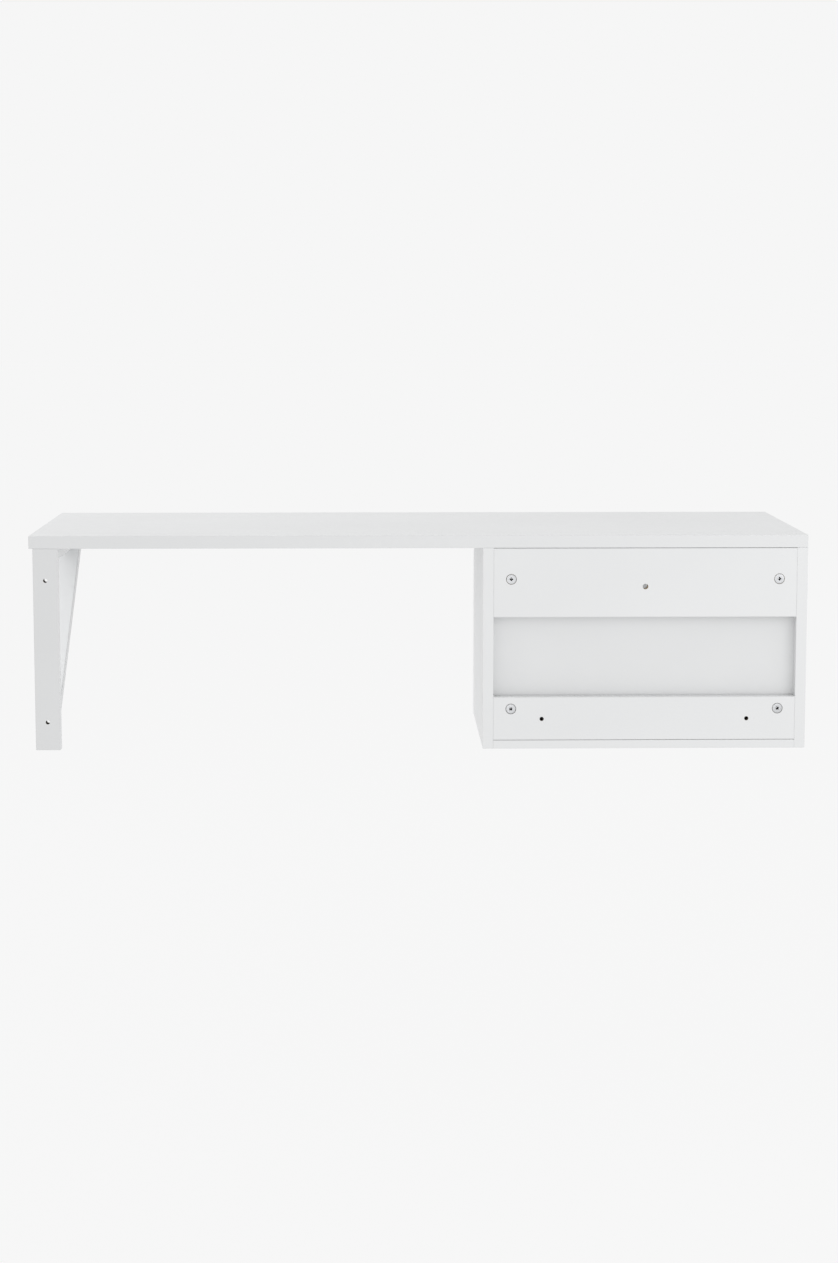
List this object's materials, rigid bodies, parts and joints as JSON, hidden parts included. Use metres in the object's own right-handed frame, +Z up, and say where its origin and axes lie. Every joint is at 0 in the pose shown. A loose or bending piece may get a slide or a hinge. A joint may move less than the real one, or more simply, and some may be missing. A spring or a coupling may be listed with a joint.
{
  "type": "wall-hung desk",
  "caption": "White wall-hung writing desk: a long board top over an open niche and a drawer cabinet at one end, with a triangular board bracket at the other.",
  "frame": {"origin": "middle of the desk top's back edge, on the wall plane", "axes": "+X to the right of a person facing the desk, +Y back into the wall, +Z up; the front faces -Y"},
  "size_m": [1.1, 0.4, 0.305],
  "materials": {
    "white_board": "satin white melamine-faced particle board with matching edging",
    "hardboard": "white-lacquered hardboard",
    "cast_zinc": "die-cast zinc, as cast",
    "steel": "bright zinc-plated steel",
    "beech": "fluted beech, unfinished",
    "runner_paint": "white epoxy powder coat",
    "nylon": "moulded white nylon",
    "knob_metal": "turned satin aluminium"
  },
  "bodies": {
    "desk": {"back_panel": "hardboard", "bottom_cam_bolts": "steel", "bottom_cam_locks": "cast_zinc", "bottom_dowels": "beech", "bottom_panel": "white_board", "bracket_arm": "white_board", "bracket_arm_screws": "steel", "bracket_brace": "white_board", "bracket_dowels": "beech", "bracket_wall_strip": "white_board", "cabinet_roller_pins": "steel", "cabinet_runner_left": "runner_paint", "cabinet_runner_right": "runner_paint", "cabinet_runner_screws": "steel", "cabinet_side_left": "white_board", "cabinet_side_right": "white_board", "desk_top": "white_board", "lower_rail": "white_board", "rail_cam_bolts": "steel", "rail_cam_locks": "cast_zinc", "rail_dowels": "beech", "shelf": "white_board", "shelf_cam_bolts": "steel", "shelf_cam_locks": "cast_zinc", "shelf_dowels": "beech", "top_cam_bolts": "steel", "top_cam_locks": "cast_zinc", "top_dowels": "beech", "upper_rail": "white_board"},
    "drawer": {"drawer_back": "white_board", "drawer_back_screws": "steel", "drawer_bottom": "hardboard", "drawer_cam_bolts": "steel", "drawer_cam_locks": "cast_zinc", "drawer_front": "white_board", "drawer_knob": "knob_metal", "drawer_roller_pins": "steel", "drawer_runner_left": "runner_paint", "drawer_runner_right": "runner_paint", "drawer_runner_screws": "steel", "drawer_side_left": "white_board", "drawer_side_right": "white_board", "knob_screw": "steel"},
    "front_roller_left": {"front_roller_left": "nylon"},
    "front_roller_right": {"front_roller_right": "nylon"},
    "rear_roller_left": {"rear_roller_left": "nylon"},
    "rear_roller_right": {"rear_roller_right": "nylon"}
  },
  "joints": [
    {"name": "drawer_slide", "type": "slide", "parent": "desk", "child": "drawer", "axis": [0, -1, 0], "range_m": [0, 0.225]},
    {"name": "front_roller_left_spin", "type": "hinge", "parent": "desk", "child": "front_roller_left", "pos_m": [-0.5285, -0.312, -0.2643], "axis": [1, 0, 0], "range_deg": [0, 1530]},
    {"name": "rear_roller_left_spin", "type": "hinge", "parent": "drawer", "child": "rear_roller_left", "pos_m": [-0.5285, -0.04, -0.265], "axis": [1, 0, 0], "range_deg": [0, 1530]},
    {"name": "front_roller_right_spin", "type": "hinge", "parent": "desk", "child": "front_roller_right", "pos_m": [-0.1115, -0.312, -0.2643], "axis": [1, 0, 0], "range_deg": [0, 1530]},
    {"name": "rear_roller_right_spin", "type": "hinge", "parent": "drawer", "child": "rear_roller_right", "pos_m": [-0.1115, -0.04, -0.265], "axis": [1, 0, 0], "range_deg": [0, 1530]}
  ],
  "couplings": [
    {"joint": "front_roller_left_spin", "follows": "drawer_slide", "rad_per_m": 117.65},
    {"joint": "rear_roller_left_spin", "follows": "drawer_slide", "rad_per_m": 117.65},
    {"joint": "front_roller_right_spin", "follows": "drawer_slide", "rad_per_m": 117.65},
    {"joint": "rear_roller_right_spin", "follows": "drawer_slide", "rad_per_m": 117.65}
  ]
}
